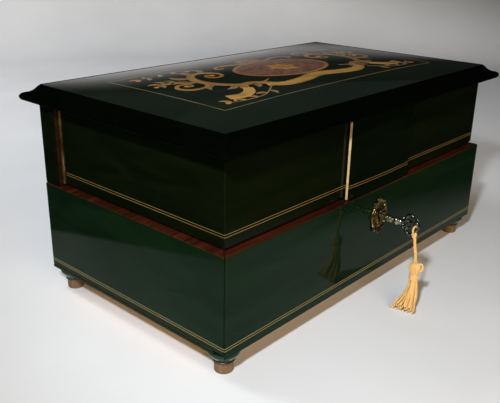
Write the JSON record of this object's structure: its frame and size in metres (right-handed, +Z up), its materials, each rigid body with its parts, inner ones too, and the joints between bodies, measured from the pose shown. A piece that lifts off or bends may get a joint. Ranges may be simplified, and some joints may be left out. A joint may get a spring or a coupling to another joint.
{
  "type": "musical jewel box",
  "caption": "Lacquered wooden box with inlaid lid, swing-out compartments, locked drawer with key and tassel, and a comb movement wound from below.",
  "frame": {"origin": "middle of the box's footprint on the floor, key included, tassel and its cord left out", "axes": "+X along the box's front, to the right; +Z up; the front faces -Y"},
  "size_m": [0.335, 0.2377, 0.1574],
  "materials": {
    "green_lacquer": "gloss lacquer",
    "black_lacquer": "gloss lacquer",
    "mahogany": "polished",
    "maple": "varnished",
    "felt": "soft pile",
    "brass": "polished",
    "nickel": "polished",
    "steel": "ground",
    "cast_metal": "cast and plated",
    "cotton": "twisted yarn",
    "mirror": "silvered",
    "clear_cover": "clear"
  },
  "bodies": {
    "case": {"arbor_bush": "brass", "base_partition": "mahogany", "case_back": "green_lacquer", "case_bottom": "mahogany", "case_deck": "mahogany", "case_side_left": "green_lacquer", "case_side_right": "green_lacquer", "centre_panel": "green_lacquer", "comb": "steel", "foot_front_left": "green_lacquer", "foot_front_right": "green_lacquer", "foot_back_left": "green_lacquer", "foot_back_right": "green_lacquer", "governor_frame": "cast_metal", "lid_hinge_fixed": "brass", "lid_hinge_pin": "brass", "lock_strike": "brass", "movement_bed": "cast_metal", "movement_cover": "clear_cover", "panel_lipping_left": "maple", "panel_lipping_right": "maple", "ring_cushion": "felt", "spring_barrel": "brass", "upper_back": "green_lacquer", "well_divider": "mahogany", "well_walls": "mahogany", "wing_left_hinge_fixed": "brass", "wing_left_hinge_pin": "brass", "wing_right_hinge_fixed": "brass", "wing_right_hinge_pin": "brass"},
    "drawer": {"drawer_back": "mahogany", "drawer_bottom": "mahogany", "drawer_front": "green_lacquer", "drawer_lining": "felt", "drawer_side_left": "mahogany", "drawer_side_right": "mahogany", "escutcheon": "brass", "lock_case": "brass", "tassel": "cotton", "tassel_cord": "cotton"},
    "bolt": {"lock_bolt": "steel"},
    "key": {"key": "nickel"},
    "lid": {"lid_backing": "mahogany", "lid_frame": "black_lacquer", "lid_hinge_moving": "brass", "lid_mirror": "mirror", "lid_panel": "green_lacquer"},
    "wing_left": {"wing_left": "green_lacquer", "wing_left_compartment": "mahogany", "wing_left_hinge_moving": "brass", "wing_left_lining": "felt"},
    "wing_right": {"wing_right": "green_lacquer", "wing_right_compartment": "mahogany", "wing_right_hinge_moving": "brass", "wing_right_lining": "felt"},
    "winding": {"winding_key": "brass"},
    "cylinder": {"cylinder": "brass"},
    "wheel": {"governor_wheel": "brass"},
    "fan": {"governor_fan": "brass"},
    "stop": {"stop_rod": "steel"}
  },
  "joints": [
    {"name": "lid_hinge", "type": "hinge", "parent": "case", "child": "lid", "pos_m": [0, 0.10175, 0.1391], "axis": [-1, 0, 0], "range_deg": [0, 97]},
    {"name": "wing_left_hinge", "type": "hinge", "parent": "case", "child": "wing_left", "pos_m": [-0.1552, 0.08215, 0.0854], "axis": [0, 0, -1], "range_deg": [0, 100]},
    {"name": "wing_right_hinge", "type": "hinge", "parent": "case", "child": "wing_right", "pos_m": [0.1552, 0.08215, 0.0854], "axis": [0, 0, 1], "range_deg": [0, 100]},
    {"name": "drawer_slide", "type": "slide", "parent": "case", "child": "drawer", "axis": [0, -1, 0], "range_m": [0, 0.075]},
    {"name": "key_turn", "type": "hinge", "parent": "drawer", "child": "key", "pos_m": [0, -0.07855, 0.0625], "axis": [0, 1, 0], "range_deg": [0, 180], "deforming": ["tassel_cord"]},
    {"name": "bolt_slide", "type": "slide", "parent": "drawer", "child": "bolt", "axis": [0, 0, 1], "range_m": [0, 0.0045]},
    {"name": "winding_turn", "type": "hinge", "parent": "case", "child": "winding", "pos_m": [-0.029, 0.06295, 0.016], "axis": [0, 0, 1], "continuous": true},
    {"name": "cylinder_turn", "type": "hinge", "parent": "case", "child": "cylinder", "pos_m": [0, 0.05445, 0.0993], "axis": [1, 0, 0], "continuous": true},
    {"name": "wheel_turn", "type": "hinge", "parent": "case", "child": "wheel", "pos_m": [0, 0.0656, 0.0993], "axis": [1, 0, 0], "continuous": true},
    {"name": "fan_turn", "type": "hinge", "parent": "case", "child": "fan", "pos_m": [0.0266, 0.0751, 0.1117], "axis": [0, 0, 1], "continuous": true},
    {"name": "stop_rise", "type": "slide", "parent": "case", "child": "stop", "axis": [0, 0, 1], "range_m": [0, 0.003]}
  ],
  "couplings": [
    {"joint": "bolt_slide", "follows": "key_turn", "m_per_rad": 0.0014323},
    {"joint": "wheel_turn", "follows": "cylinder_turn", "ratio": -4},
    {"joint": "fan_turn", "follows": "cylinder_turn", "ratio": 40},
    {"joint": "stop_rise", "follows": "lid_hinge", "m_per_rad": 0.001771}
  ]
}
